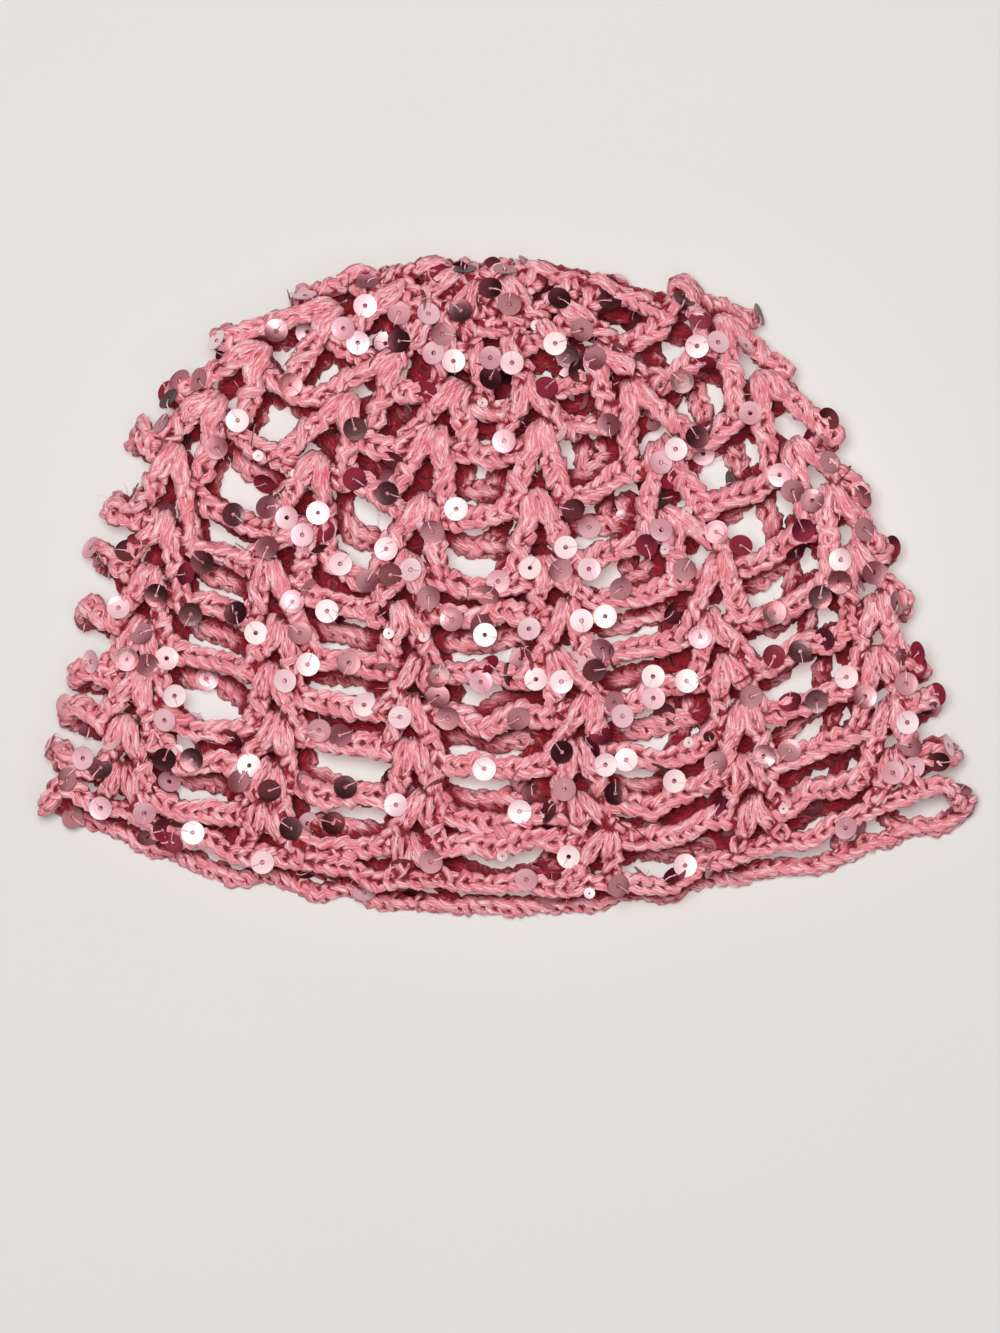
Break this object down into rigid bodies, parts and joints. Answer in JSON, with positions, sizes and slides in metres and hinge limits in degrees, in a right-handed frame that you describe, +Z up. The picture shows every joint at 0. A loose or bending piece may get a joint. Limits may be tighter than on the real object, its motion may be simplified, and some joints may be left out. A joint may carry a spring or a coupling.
{
  "type": "crochet skull cap with sequins",
  "caption": "Openwork crochet skull cap in thick cotton, laid flat, with a ribbed net, a braided rim and flat round sequins sewn all over it.",
  "frame": {"origin": "centre of the cap's outline, on the surface that it lies on", "axes": "+X across the cap along its rim, +Y from the rim up to the crown, +Z up out of the surface"},
  "size_m": [0.2328, 0.1654, 0.0177],
  "materials": {
    "yarn": "soft matt cotton yarn, dusty pink",
    "sequin_pearl": "pearly pink film",
    "sequin_rose": "glossy rose film",
    "sequin_smoke": "glossy film, dark where it is tilted"
  },
  "bodies": {
    "root": {"crown": "yarn", "net": "yarn", "rim": "yarn", "sequin_01": "sequin_pearl", "sequin_02": "sequin_pearl", "sequin_03": "sequin_pearl", "sequin_04": "sequin_pearl", "sequin_05": "sequin_pearl", "sequin_06": "sequin_smoke", "sequin_07": "sequin_smoke", "sequin_08": "sequin_smoke", "sequin_09": "sequin_rose", "sequin_10": "sequin_smoke", "sequin_11": "sequin_rose", "sequin_12": "sequin_pearl", "sequin_13": "sequin_pearl", "sequin_14": "sequin_pearl", "sequin_15": "sequin_pearl", "sequin_16": "sequin_smoke", "sequin_17": "sequin_pearl", "sequin_18": "sequin_pearl", "sequin_19": "sequin_pearl", "sequin_20": "sequin_pearl", "sequin_21": "sequin_smoke", "sequin_22": "sequin_pearl", "sequin_23": "sequin_pearl", "sequin_24": "sequin_pearl", "sequin_25": "sequin_pearl", "sequin_26": "sequin_pearl", "sequin_27": "sequin_pearl", "sequin_28": "sequin_pearl", "sequin_29": "sequin_pearl", "sequin_30": "sequin_pearl", "sequin_31": "sequin_pearl", "sequin_32": "sequin_pearl", "sequin_33": "sequin_pearl", "sequin_34": "sequin_pearl", "sequin_35": "sequin_pearl", "sequin_36": "sequin_pearl"}
  },
  "joints": []
}
